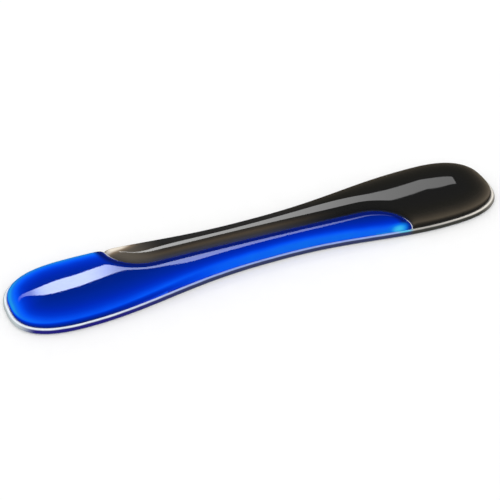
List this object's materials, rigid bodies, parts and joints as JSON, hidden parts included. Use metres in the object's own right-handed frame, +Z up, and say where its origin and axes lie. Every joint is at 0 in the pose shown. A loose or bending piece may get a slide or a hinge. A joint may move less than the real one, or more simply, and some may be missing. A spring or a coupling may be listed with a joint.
{
  "type": "wrist rest",
  "caption": "Long waisted gel wrist rest for a keyboard: two comma-shaped gel pads, blue and smoke, meet along an S-shaped seam inside a clear rim.",
  "frame": {"origin": "on the desk surface, under the middle of the rest", "axes": "+X along the rest, +Y away from the user towards the keyboard, +Z up; the blue pad's head is at -X"},
  "size_m": [0.48, 0.0898, 0.015],
  "materials": {
    "blue_gel": "soft clear polyurethane gel, deep blue",
    "blue_film": "glossy thermoplastic polyurethane film over blue gel",
    "smoke_gel": "soft clear polyurethane gel, dark smoke grey",
    "smoke_film": "glossy thermoplastic polyurethane film over smoke gel",
    "clear_film": "clear glossy thermoplastic polyurethane",
    "frosted_sheet": "translucent white film",
    "adhesive": "pale pressure-sensitive adhesive",
    "grip_sheet": "pale tacky non-slip sheet with a fine matt grain"
  },
  "bodies": {
    "root": {"non_slip_base": "grip_sheet", "adhesive_film": "adhesive", "carrier_sheet": "frosted_sheet", "clear_rim": "clear_film", "seam_web": "clear_film", "gel_core_blue": "blue_gel", "film_skin_blue": "blue_film", "gel_core_smoke": "smoke_gel", "film_skin_smoke": "smoke_film"}
  },
  "joints": []
}
